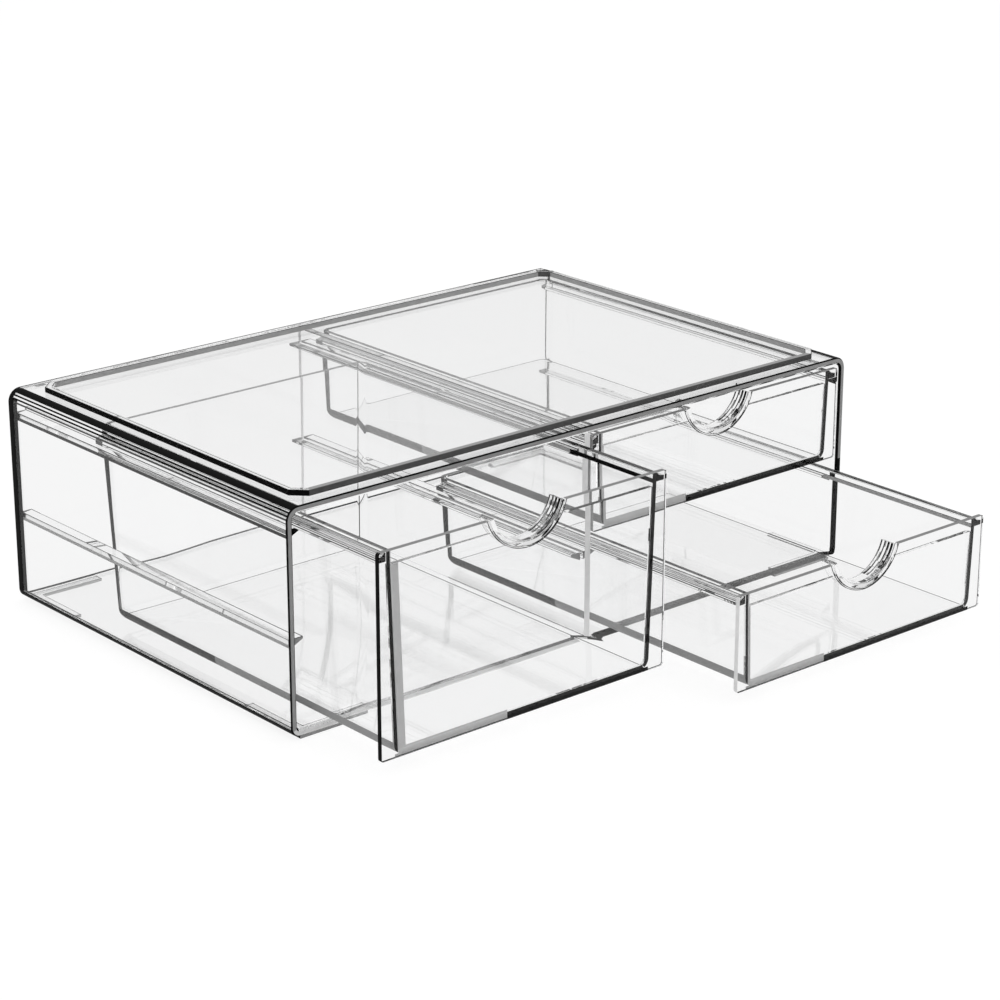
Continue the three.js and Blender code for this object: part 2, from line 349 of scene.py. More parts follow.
def smudge_group(name):
    """Faint handling smudges in loose patches."""
    inputs = {"Vector": ("Vector", None), "Amount": ("Float", 0.3)}
    group, entry, leave = new_group("ShaderNodeTree", name, inputs, {"Mask": "Float"})
    vector = entry["Vector"]
    patches = spread(group, noise(group, vector, 14, 4, 0.6), 0.58, 0.78)
    wiped = spread(group, streaks(group, vector, (160, 40, 90), (0.3, 0.2, 0.5)), 0.5, 0.8)
    mask = math_node(group, "MULTIPLY", patches, wiped)
    group.links.new(math_node(group, "MULTIPLY", mask, entry["Amount"]), leave["Mask"])
    return group


def cut_edge_group(name):
    """Saw and polish lines along a cut edge, with small nicks."""
    inputs = {"Vector": ("Vector", None), "Depth": ("Float", 0.25)}
    group, entry, leave = new_group("ShaderNodeTree", name, inputs, {"Shade": "Float", "Height": "Float"})
    vector = entry["Vector"]
    saw = streaks(group, vector, (260, 260, 260), (0.4, 0.3, 0.2), 3)
    nicks = spread(group, noise(group, vector, 420, 2), 0.7, 0.8)
    lines = math_node(group, "ADD", saw, nicks)
    change = math_node(group, "MULTIPLY", math_node(group, "SUBTRACT", lines, 0.5), entry["Depth"])
    group.links.new(math_node(group, "ADD", change, 1), leave["Shade"])
    group.links.new(lines, leave["Height"])
    return group


MARK_GROUPS = {
    "Fine rub marks": rub_marks_group,
    "Sheet waviness": waviness_group,
    "Handling smudges": smudge_group,
    "Cut edge": cut_edge_group,
}


def marks_on(tree, name, **inputs):
    """The outputs of a group of marks, which is built the first time it is asked for."""
    group = bpy.data.node_groups.get(name) or MARK_GROUPS[name](name)
    inputs["Vector"] = add(tree, "ShaderNodeTexCoord").outputs["Object"]
    return add(tree, "ShaderNodeGroup", inputs, node_tree=group).outputs


def empty_material(name):
    """A new material without any nodes, and its node tree."""
    material = bpy.data.materials.new(name)
    material.use_nodes = True
    material.node_tree.nodes.clear()
    return material, material.node_tree


def clear_plastic(name, swell, scale=18, marks=0.5, smudges=0.3):
    """Clear plastic: refracting, with waviness, hair scratches and faint smudges of its own."""
    material, tree = empty_material(name)
    rub = marks_on(tree, "Fine rub marks", Amount=marks)
    wave = marks_on(tree, "Sheet waviness", Scale=scale)
    smear = marks_on(tree, "Handling smudges", Amount=smudges)
    tints = {0: smear["Mask"], 6: (*colours().clear, 1), 7: (*colours().smudge, 1)}
    height = math_node(tree, "MULTIPLY", wave["Height"], swell)
    height = math_node(tree, "MULTIPLY_ADD", rub["Height"], SCRATCH_DEPTH, height)
    bump = add(tree, "ShaderNodeBump", {"Strength": 1, "Distance": 1, "Height": height})
    inputs = {
        "Base Color": add(tree, "ShaderNodeMix", tints, data_type="RGBA").outputs[2],
        "Metallic": 0,
        "Roughness": math_node(tree, "MULTIPLY", rub["Mask"], SCRATCH_ROUGHNESS),
        "IOR": ACRYLIC_IOR,
        "Normal": bump.outputs["Normal"],
        "Specular Tint": (GLEAM, GLEAM, GLEAM, 1),
        "Transmission Weight": 1,
    }
    glass = add(tree, "ShaderNodeBsdfPrincipled", inputs).outputs[0]
    ghost = add(tree, "ShaderNodeBsdfTransparent").outputs[0]
    in_shadow = add(tree, "ShaderNodeLightPath").outputs["Is Shadow Ray"]
    blend = add(tree, "ShaderNodeMixShader", {0: in_shadow, 1: glass, 2: ghost})
    add(tree, "ShaderNodeOutputMaterial", {"Surface": blend.outputs[0]})
    return material


def cut_edge_and_painted_shade(name, depth):
    """Painted light and shade for edges seen end on and other painted faces: the brightness is painted face
    by face, with saw lines and nicks over it.
    """
    material, tree = empty_material(name)
    lines = marks_on(tree, "Cut edge", Depth=depth)
    painted = add(tree, "ShaderNodeAttribute", attribute_type="GEOMETRY", attribute_name=SHADE)
    bump = add(tree, "ShaderNodeBump", {"Strength": 0.3, "Distance": 0.00005, "Height": lines["Height"]})
    inputs = {
        "Base Color": math_node(tree, "MULTIPLY", painted.outputs["Fac"], lines["Shade"]),
        "Roughness": 0.5,
        "Normal": bump.outputs["Normal"],
        "Specular IOR Level": 0.03,
    }
    body = add(tree, "ShaderNodeBsdfPrincipled", inputs)
    add(tree, "ShaderNodeOutputMaterial", {"Surface": body.outputs[0]})
    return material


def finish(slot):
    """A slot's clear plastic and its material of cut edges and painted shade, each made the first time it is
    asked for.
    """
    plastic, marks, edge, depth = FINISHES[slot]
    made = bpy.data.materials
    return made.get(plastic) or clear_plastic(plastic, **marks), made.get(edge) or cut_edge_and_painted_shade(edge, depth)


# Meshes


def new_object(name, data):
    """An object in the scene that holds a mesh, a lamp or a camera."""
    item = bpy.data.objects.new(name, data)
    bpy.context.scene.collection.objects.link(item)
    return item


@contextmanager
def opened(mesh):
    """A mesh opened for changes, which are written back at the end."""
    build = bmesh.new()
    build.from_mesh(mesh)
    yield build
    build.to_mesh(mesh)
    build.free()


def turn_outwards(mesh):
    """Joins a mesh's loose points and turns every face outwards."""
    with opened(mesh) as build:
        bmesh.ops.remove_doubles(build, verts=build.verts, dist=1e-7)
        bmesh.ops.recalc_face_normals(build, faces=build.faces)
    return mesh


def stand_up(mesh, place):
    """Stands a mesh that was swept in the XY plane upright, its Y to Z, and moves it to its place."""
    for vertex in mesh.vertices:
        x, y, z = vertex.co
        vertex.co = Vector((x, z, y)) + place
    turn_outwards(mesh)


def mesh_from(name, points, faces):
    """A closed mesh from its points and faces."""
    mesh = bpy.data.meshes.new(name)
    mesh.from_pydata([tuple(p) for p in points], [], faces)
    return turn_outwards(mesh)


def prism(name, outline, start, end, axis):
    """A flat outline run from start to end along Y or Z."""
    count = len(outline)
    points = [(a, level, b) if axis == Y else (a, b, level) for level in (start, end) for a, b in outline]
    faces = [tuple(range(count)), tuple(range(count, 2 * count))]
    for i in range(count):
        j = (i + 1) % count
        faces.append((i, j, count + j, count + i))
    return mesh_from(name, points, faces)


def arc(centre, radius, start, end, steps):
    """Points of an arc in degrees, both ends included."""
    points = []
    for step in range(steps + 1):
        angle = math.radians(start + (end - start) * step / steps)
        points.append((centre[0] + radius * math.cos(angle), centre[1] + radius * math.sin(angle)))
    return points


def rounded(low, high, bottom, top, steps, along_top=()):
    """The outline of a box seen from the front, with its corners' radii and the points along its top."""
    return [
        *arc((high.x - bottom, low.z + bottom), bottom, -90, 0, steps),
        *arc((high.x - top, high.z - top), top, 0, 90, steps),
        *along_top,
        *arc((low.x + top, high.z - top), top, 90, 180, steps),
        *arc((low.x + bottom, low.z + bottom), bottom, 180, 270, steps),
    ]


def split_at(mesh, point, across):
    """Cuts a mesh's faces at a plane without opening it."""
    with opened(mesh) as build:
        everything = build.verts[:] + build.edges[:] + build.faces[:]
        bmesh.ops.bisect_plane(build, geom=everything, dist=1e-7, plane_co=point, plane_no=across)


def split_along(mesh, axis, *levels):
    """Cuts a mesh's faces at several levels of one axis."""
    for level in levels:
        split_at(mesh, level * axis, axis)


def joined(name, meshes):
    """One mesh made of several closed ones."""
    whole = bpy.data.meshes.new(name)
    with opened(whole) as build:
        for mesh in meshes:
            build.from_mesh(mesh)
    return whole


def draw_in(mesh, film):
    """Draws every face of a mesh in by the bond film."""
    with opened(mesh) as build:
        build.normal_update()
        moves = [film * vertex.calc_shell_factor() * vertex.normal for vertex in build.verts]
        for vertex, move in zip(build.verts, moves):
            vertex.co -= move


def finish_piece(mesh, rule, body, nodes, slot, arris=1):
    """Makes a mesh a piece of its own name: painted, smoothed and tied to its body, with its CAD nodes
    hidden.

    The rule gives the brightness of the light or shade painted on a face from its middle and its normal, or
    None where it is clear. The arris is a multiple of the usual one, or 0 for sharp edges.
    """
    piece = new_object(mesh.name, mesh)
    mesh.materials.clear()
    for material in finish(slot):
        mesh.materials.append(material)
    values = [rule(face.center, face.normal) for face in mesh.polygons]
    for face, value in zip(mesh.polygons, values):
        face.material_index = 0 if value is None else 1
        face.use_smooth = max(abs(c) for c in face.normal) < STRAIGHT
    shades = [ARRIS_SHADE if value is None else value for value in values]
    mesh.attributes.new(SHADE, "FLOAT", "FACE").data.foreach_set("value", shades)
    mesh.set_sharp_from_angle(angle=math.radians(28))
    draw_in(mesh, sizes().bond_film)
    if arris:
        bevel = piece.modifiers.new("Arris", "BEVEL")
        bevel.width = arris * sizes().arris
        bevel.segments = 1
        bevel.limit_method = "ANGLE"
        bevel.angle_limit = math.radians(50)
        # The arris flats take the edge material, so each sharp edge gets a thin line of painted shade.
        bevel.material = 1
    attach(piece, body)
    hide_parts(*nodes)


# Shapes grown by Geometry Nodes


def shape_tree(name, defaults):
    """A Geometry Nodes group with inputs for the seed, for each named value and for the material."""
    kinds = {float: "Float", int: "Int"}
    inputs = {"Geometry": ("Geometry", None)}
    inputs.update({label: (kinds[type(value)], value) for label, value in defaults.items()})
    inputs["Material"] = ("Material", None)
    return new_group("GeometryNodeTree", name, inputs, {"Geometry": "Geometry"})


def close_tree(tree, entry, leave, geometry):
    """Ends a tree in Realize Instances and Set Material."""
    real = add(tree, "GeometryNodeRealizeInstances", {0: geometry}).outputs[0]
    dressed = add(tree, "GeometryNodeSetMaterial", {"Geometry": real, "Material": entry["Material"]})
    tree.links.new(dressed.outputs[0], leave["Geometry"])
    return tree


def grown(name, seed_mesh, tree, slot, values):
    """The plain mesh that a tree makes from a seed mesh, a slot's plastic and its named values."""
    holder = new_object(name + "_holder", seed_mesh)
    modifier = holder.modifiers.new("Shape", "NODES")
    modifier.node_group = tree
    sockets = {item.name: item.identifier for item in tree.interface.items_tree if item.in_out == "INPUT"}
    modifier[sockets["Material"]] = finish(slot)[0]
    for label, value in values.items():
        modifier[sockets[label]] = value
    bpy.context.view_layer.update()
    graph = bpy.context.evaluated_depsgraph_get()
    mesh = bpy.data.meshes.new_from_object(holder.evaluated_get(graph))
    holder.modifiers.remove(modifier)
    bpy.data.objects.remove(holder)
    mesh.name = name
    return turn_outwards(mesh)


def seed(name, points, closed=False, turns=()):
    """A seed mesh: loose points, with a turn each where they are given, or a closed line."""
    mesh = bpy.data.meshes.new(name)
    edges = [(i, (i + 1) % len(points)) for i in range(len(points))] if closed else []
    mesh.from_pydata([tuple(p) for p in points], edges, [])
    if turns:
        attribute = mesh.attributes.new("turn", "FLOAT_VECTOR", "POINT")
        for item, turn in zip(attribute.data, turns):
            item.vector = turn
    return mesh


def rectangle(tree, width, height):
    inputs = {"Width": width, "Height": height}
    return add(tree, "GeometryNodeCurvePrimitiveQuadrilateral", inputs).outputs["Curve"]


def filleted(tree, curve, radius, facets):
    """A curve whose corners are cut into straight facets."""
    inputs = {"Curve": curve, "Radius": radius, "Count": facets, "Limit Radius": False}
    return add(tree, "GeometryNodeFilletCurve", inputs, mode="POLY").outputs["Curve"]


def swept(tree, curve, section, caps=False):
    """A section swept along a curve, with closed ends where asked."""
    inputs = {"Curve": curve, "Profile Curve": section, "Fill Caps": caps}
    return add(tree, "GeometryNodeCurveToMesh", inputs).outputs["Mesh"]


def bent_sheet_tree():
    """A closed section line swept round a rectangle whose corners are bent to two radii."""
    defaults = {"Width": 0.3, "Height": 0.1, "Top Radius": 0.006, "Bottom Radius": 0.0045, "Facets": 10}
    tree, entry, leave = shape_tree("Bent sheet", defaults)
    place = add(tree, "GeometryNodeInputPosition").outputs[0]
    height = add(tree, "ShaderNodeSeparateXYZ", {0: place}).outputs["Y"]
    above = math_node(tree, "GREATER_THAN", height, 0)
    radii = {0: above, 2: entry["Bottom Radius"], 3: entry["Top Radius"]}
    radius = add(tree, "ShaderNodeMix", radii, data_type="FLOAT").outputs[0]
    outline = rectangle(tree, entry["Width"], entry["Height"])
    bent = filleted(tree, outline, radius, entry["Facets"])
    section = add(tree, "GeometryNodeMeshToCurve", {"Mesh": entry["Geometry"]}).outputs["Curve"]
    return close_tree(tree, entry, leave, swept(tree, bent, section))


def ledges_tree():
    """A straight bar with a given section, set on each seed point and turned by its own turn."""
    defaults = {"Width": 0.005, "Root": 0.0038, "Tip": 0.0012, "Length": 0.2}
    tree, entry, leave = shape_tree("Ledges on points", defaults)
    end = add(tree, "ShaderNodeCombineXYZ", {"Z": entry["Length"]}).outputs[0]
    line = add(tree, "GeometryNodeCurvePrimitiveLine", {"Start": (0, 0, 0), "End": end}).outputs["Curve"]
    root, tip = (math_node(tree, "MULTIPLY", entry[label], -1) for label in ("Root", "Tip"))
    corners = ((0, 0), (0, root), (entry["Width"], tip), (entry["Width"], 0))
    points = {
        f"Point {number}": add(tree, "ShaderNodeCombineXYZ", {"X": across, "Y": down}).outputs[0]
        for number, (across, down) in enumerate(corners, 1)
    }
    section = add(tree, "GeometryNodeCurvePrimitiveQuadrilateral", points, mode="POINTS").outputs["Curve"]
    turn = add(tree, "GeometryNodeInputNamedAttribute", {"Name": "turn"}, data_type="FLOAT_VECTOR")
    inputs = {
        "Points": entry["Geometry"],
        "Instance": swept(tree, line, section, caps=True),
        "Rotation": add(tree, "FunctionNodeEulerToRotation", {0: turn.outputs["Attribute"]}).outputs[0],
    }
    ledges = add(tree, "GeometryNodeInstanceOnPoints", inputs).outputs["Instances"]
    return close_tree(tree, entry, leave, ledges)


def ridge_tree():
    """A closed bar round a rectangle with its corners cut off, mitred at every turn."""
    defaults = {"Width": 0.298, "Depth": 0.19, "Bar": 0.003, "Height": 0.0026, "Chamfer": 0.006}
    tree, entry, leave = shape_tree("Stacking ridge", defaults)
    width, depth = (math_node(tree, "SUBTRACT", entry[label], entry["Bar"]) for label in ("Width", "Depth"))
    inner_share = 1 - math.sqrt(0.5)
    chamfer = math_node(tree, "MULTIPLY_ADD", entry["Bar"], -inner_share, entry["Chamfer"])
    ring = filleted(tree, rectangle(tree, width, depth), chamfer, 1)
    mitre = 1 / math.cos(math.radians(22.5))
    section = rectangle(tree, math_node(tree, "MULTIPLY", entry["Bar"], mitre), entry["Height"])
    return close_tree(tree, entry, leave, swept(tree, ring, section))


def pull_tree():
    """A curved lip: a rounded section swept along an arc that hangs down."""
    defaults = {"Radius": 0.0195, "Half Angle": 1.3, "Thickness": 0.0025, "Depth": 0.008}
    defaults.update({"Rounding": 0.0007, "Facets": 48})
    tree, entry, leave = shape_tree("Finger pull", defaults)
    inputs = {
        "Resolution": entry["Facets"],
        "Radius": entry["Radius"],
        "Start Angle": math_node(tree, "SUBTRACT", -math.pi / 2, entry["Half Angle"]),
        "Sweep Angle": math_node(tree, "MULTIPLY", entry["Half Angle"], 2),
    }
    bow = add(tree, "GeometryNodeCurveArc", inputs).outputs["Curve"]
    section = filleted(tree, rectangle(tree, entry["Thickness"], entry["Depth"]), entry["Rounding"], 5)
    return close_tree(tree, entry, leave, swept(tree, bow, section, caps=True))


# Casing


def build_sleeve():
    """The bent sheet, with painted light and shade on its front edge, painted dark stripes on its bends and
    painted dark lines at the back.
    """
    size, tone = sizes(), colours()
    low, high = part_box("casing_sleeve")
    front, back, middle = low.y, high.y, (low.z + high.z) / 2
    sheet, outer, inner = size.sheet, size.outer_bevel, size.inner_bevel
    section = [
        (sheet / 2, back),
        (sheet / 2, front + outer),
        (sheet / 2 - outer, front),
        (inner - sheet / 2, front),
        (-sheet / 2, front + inner),
        (-sheet / 2, back),
    ]
    values = {
        "Width": high.x - low.x - sheet,
        "Height": high.z - low.z - sheet,
        "Top Radius": size.top_radius - sheet / 2,
        "Bottom Radius": size.bottom_radius - sheet / 2,
        "Facets": 12,
    }
    line = seed("Sleeve section", [(-a, -b, 0) for a, b in section], closed=True)
    mesh = grown("Casing_sleeve", line, bent_sheet_tree(), "casing_clear", values)
    stand_up(mesh, middle * Z)
    reach = max(abs(vertex.co.x) for vertex in mesh.vertices)
    if abs(reach - high.x) > NEAR:
        raise RuntimeError(f"the sleeve is {reach} m to each side instead of {high.x} m")
    edge_strip, shade_strip = 0.3 * sheet, 0.55 * sheet
    half_across = high.x - size.top_radius
    shoulder = half_across - 0.4 * sheet
    bend_top = high.z - size.top_radius
    bend_bottom = low.z + size.bottom_radius
    split_along(mesh, X, 0, shoulder)
    split_along(mesh, Y, back - edge_strip, back - shade_strip)
    split_along(mesh, Z, middle)
    # Each painted shade stripe of the top left bend: the first and last lean of its faces in degrees, and its
    # brightness.
    shade_stripes = ((0, 38, tone.dark), (47, 53, tone.dark), (60, 67, tone.dark), (75, 82, tone.slate))

    # Painted shade on the front edge: the end face grey, dark on its lower right half and pale along its
    # lower left; the bevels dark where they face out.
    def front_edge(place, normal):
        below = place.z < bend_bottom - edge_strip
        if normal.y < -0.95:
            if below and place.x < 0:
                return 1.1 * tone.pale
            return tone.dark if place.x > 0 and place.z < middle else tone.grey
        if below and abs(place.x) < half_across:
            return tone.dark if normal.z < 0 and place.x > 0 else None
        outward = place.x * normal.x + (place.z - middle) * normal.z > 0
        return tone.dark if outward or abs(normal.x) > 0.3 else None

    # Painted shade on the bends: dark stripes over the top bends, dark on the left lower bend.
    def outer_bend(place, normal):
        if place.z > bend_top:
            lean = math.degrees(math.atan2(abs(normal.x), normal.z))
            if place.x > 0:
                return tone.dark if lean < 45 else None
            return next((value for first, last, value in shade_stripes if first <= lean <= last), None)
        dip = math.degrees(math.atan2(-normal.z, abs(normal.x)))
        return tone.dark if 7 < dip < 82 and place.x < 0 else None

    def rule(place, normal):
        if normal.y < -0.3:
            return front_edge(place, normal)
        if normal.y > 0.3:
            return None
        upright = abs(normal.x) > 0.5
        is_outer = normal.x * place.x > 0 if upright else (normal.z > 0) == (place.z > middle)
        if not is_outer:
            faces_in = abs(normal.x) > 0.9 or (normal.z > 0.9 and place.z < middle)
            return tone.dark if faces_in and place.y > back - shade_strip else None
        if normal.x < -0.9 and place.y > back - edge_strip:
            return tone.dark
        if normal.z > 0.9 and shoulder < place.x < half_across:
            return tone.dark
        bent = abs(place.x) > half_across and not bend_bottom <= place.z <= bend_top
        return outer_bend(place, normal) if bent else None

    finish_piece(mesh, rule, "casing", ["casing_sleeve"], "casing_clear", arris=0)


def build_back_panel():
    """The back panel, with painted shade on its left edge and on the back of its top edge."""
    size, tone = sizes(), colours()
    low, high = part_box("back_panel")
    outline = rounded(low, high, size.bottom_radius, size.top_radius, 10)
    mesh = prism("Back_panel", outline, low.y, high.y, Y)
    rear = high.y - 0.3 * size.sheet
    split_along(mesh, Y, rear)

    def rule(place, normal):
        if abs(normal.y) > 0.5:
            return None
        return tone.dark if normal.x < -0.2 or (normal.z > 0.3 and place.y > rear) else None

    finish_piece(mesh, rule, "casing", ["back_panel"], "casing_clear")


def build_partition():
    """The partition, with painted pale ends and a thin painted shade line under the top sheet."""
    tone = colours()
    low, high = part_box("partition")
    outline = [(low.x, low.y), (high.x, low.y), (high.x, high.y), (low.x, high.y)]
    mesh = prism("Partition", outline, low.z, high.z, Z)
    shade_line = high.z - sizes().shade_line_height
    split_along(mesh, Z, shade_line)

    def rule(place, normal):
        # The ends are painted pale, near white at the back, and a painted shade line runs just under the top
        # on both sides.
        if abs(normal.y) > 0.5:
            return (1.35 if normal.y < 0 else 1.85) * tone.pale
        return tone.dark if abs(normal.x) > 0.5 and place.z > shade_line else None

    finish_piece(mesh, rule, "casing", ["partition"], "casing_clear", arris=0)


def build_ridge():
    """The stacking ridge, with painted shade, darkest on the outer faces that look towards the camera."""
    size, tone = sizes(), colours()
    low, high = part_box("stacking_ridge")
    bar = size.ridge_width
    values = {
        "Width": high.x - low.x,
        "Depth": high.y - low.y,
        "Bar": bar,
        "Height": high.z - low.z,
        "Chamfer": size.ridge_chamfer,
    }
    point = seed("Ridge seed", [(0, 0, 0)])
    mesh = grown("Stacking_ridge", point, ridge_tree(), "ridge_clear", values)
    middle = (low + high) / 2
    for vertex in mesh.vertices:
        vertex.co += middle

    def rule(place, normal):
        if abs(normal.z) > 0.5:
            return tone.silver if normal.z > 0 and place.y < low.y + bar else None
        out = place - middle
        if abs(normal.x) > 0.3 and abs(normal.y) > 0.3:
            if out.x > 0 and out.y > 0:
                return tone.slate if normal.y < 0 else tone.dark
            return tone.dark if out.x * normal.x + out.y * normal.y > 0 and normal.y < 0 else None
        if normal.x > -0.5 and normal.y > -0.5:
            return None
        if abs(out.x) < high.x - middle.x - 0.4 * bar and abs(out.y) < high.y - middle.y - 0.4 * bar:
            return tone.silver
        return tone.dark if normal.x < -0.5 else tone.slate

    finish_piece(mesh, rule, "casing", ["stacking_ridge"], "ridge_clear")


def build_feet():
    """The four angled feet, with painted shade: grey on the faces towards the front and dark on those towards
    the left.
    """
    arm, tone = sizes().foot_arm, colours()

    def rule(place, normal):
        return tone.grey if normal.y < -0.5 else tone.dark if normal.x < -0.5 else None

    for node in ("foot_front_left", "foot_front_right", "foot_back_left", "foot_back_right"):
        low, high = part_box(node)
        outer_x, inner_x = (low.x, high.x) if "left" in node else (high.x, low.x)
        outer_y, inner_y = (low.y, high.y) if "front" in node else (high.y, low.y)
        elbow_x = outer_x + math.copysign(arm, inner_x - outer_x)
        elbow_y = outer_y + math.copysign(arm, inner_y - outer_y)
        outline = [
            (outer_x, outer_y),
            (inner_x, outer_y),
            (inner_x, elbow_y),
            (elbow_x, elbow_y),
            (elbow_x, inner_y),
            (outer_x, inner_y),
        ]
        mesh = prism(node.capitalize(), outline, low.z, high.z, Z)
        finish_piece(mesh, rule, "casing", [node], "foot_clear")


def build_runners():
    """The eight runners as one piece, with painted shade on their ends, on the roots along the left wall and
    on the tips by the partition.
    """
    size, tone = sizes(), colours()
    nodes = [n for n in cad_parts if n.startswith("runner_")]
    low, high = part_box(nodes[0])
    width, root = high.x - low.x, high.z - low.z
    points, turns = [], []
    for node in nodes:
        start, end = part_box(node)
        leans_right = "left_wall" in node or "partition_right" in node
        points.append((start.x, end.y, end.z) if leans_right else (end.x, start.y, end.z))
        turns.append((math.pi / 2, 0, 0 if leans_right else math.pi))
    values = {"Width": width, "Root": root, "Tip": size.runner_tip, "Length": high.y - low.y}
    spots = seed("Runner points", points, turns=turns)
    mesh = grown("Runners", spots, ledges_tree(), "runner_clear", values)
    lower_top, upper_top = sorted({round(point[2], 6) for point in points})
    root_line = 0.55 * root
    tip_line = upper_top - 0.5 * size.runner_tip
    split_along(mesh, Z, lower_top - root_line, upper_top - root_line, tip_line)
    left = min(vertex.co.x for vertex in mesh.vertices)

    def rule(place, normal):
        upper = place.z > upper_top - 2 * root
        if abs(normal.y) > 0.5:
            return tone.dark if upper or normal.y > 0 else tone.grey
        if normal.x < -0.9 and place.x < left + NEAR:
            if place.z > (upper_top if upper else lower_top) - root_line:
                return None
            return tone.dark if upper else tone.silver
        at_partition = abs(place.x) < 2 * width
        is_tip = normal.x * place.x > 0 and abs(normal.x) > 0.9
        return tone.dark if at_partition and is_tip and place.z > tip_line else None

    finish_piece(mesh, rule, "casing", nodes, "runner_clear", arris=0.8)


# Drawers


def bite(drawer, top, steps):
    """The round bite for a drawer's pull, in a plate or wall whose top edge is this high."""
    size = sizes()
    low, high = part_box(drawer + "_front")
    rise = high.z + size.pull_rise
    radius = size.pull_radius + size.pull_gap
    fall = math.degrees(math.asin((rise - top) / radius))
    return arc(((low.x + high.x) / 2, rise), radius, -fall, fall - 180, steps)


def tub_levels(low, high, wall, reach_down, step_count):
    """Outlines of a tub's skin seen from above, from its floor up to its rim, drawn in by a wall's thickness.

    Each outline runs from the front left corner to the front right one and round the two back corners.
    """
    size = sizes()
    half, middle = (high.x - low.x) / 2 - wall, (low.x + high.x) / 2
    back = high.y - wall
    bottom, radius = low.z + wall, size.tub_radius - wall
    band = high.z - reach_down
    slope = math.tan(size.tub_draft)
    heights = []
    for step in range(step_count + 1):
        angle = math.pi / 2 * step / step_count
        z = bottom + radius * (1 - math.cos(angle))
        heights.append((z, radius * (1 - math.sin(angle)) + slope * (band - z)))
    heights += [(band, 0), (high.z, 0)]
    levels = []
    for z, inset in heights:
        reach, end = half - inset, back - inset
        ring = [(middle - reach, low.y), (middle + reach, low.y)]
        ring += arc((middle + reach - radius, end - radius), radius, 0, 90, step_count)
        ring += arc((middle - reach + radius, end - radius), radius, 90, 180, step_count)
        levels.append([(x, y, z) for x, y in ring])
    return levels


def tub_shell(low, high, wall, reach_down, step_count):
    """A tub of thin walls that is open at its front and top."""
    outer = tub_levels(low, high, 0, reach_down, step_count)
    inner = tub_levels(low, high, wall, reach_down, step_count)
    count, rows = len(outer[0]), len(outer)
    points = [p for level in outer + inner for p in level]
    first_inner = count * rows
    faces = [tuple(range(count)), tuple(first_inner + i for i in range(count))]
    for row in range(rows - 1):
        for skin in (0, first_inner):
            for i in range(1, count):
                a, b = skin + row * count + i, skin + row * count + (i + 1) % count
                faces.append((a, b, b + count, a + count))
        for i in (0, 1):
            a = row * count + i
            faces.append((a, a + count, a + count + first_inner, a + first_inner))
    faces.append((0, 1, first_inner + 1, first_inner))
    rim = (rows - 1) * count
    for i in range(1, count):
        a, b = rim + i, rim + (i + 1) % count
        faces.append((a, b, b + first_inner, a + first_inner))
    return mesh_from("Tub shell", points, faces)


def tub_front_wall(drawer, low, high, wall, reach_down, step_count):
    """The low front wall that closes a tub, with its bite for the pull."""
    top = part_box(drawer + "_front")[1].z - sizes().front_wall_drop
    middle = (low.x + high.x) / 2
    side = [level[0] for level in tub_levels(low, high, wall, reach_down, step_count)]
    side = [(x, z) for x, _, z in side if z < top]
    slope = math.tan(sizes().tub_draft)
    reach = (high.x - low.x) / 2 - wall - slope * (high.z - reach_down - top)
    outline = [(middle - reach, top), *reversed(side)]
    outline += [(2 * middle - x, z) for x, z in side] + [(middle + reach, top)]
    outline += bite(drawer, top, 40)
    return prism("Tub front wall", outline, low.y, low.y + wall, Y)


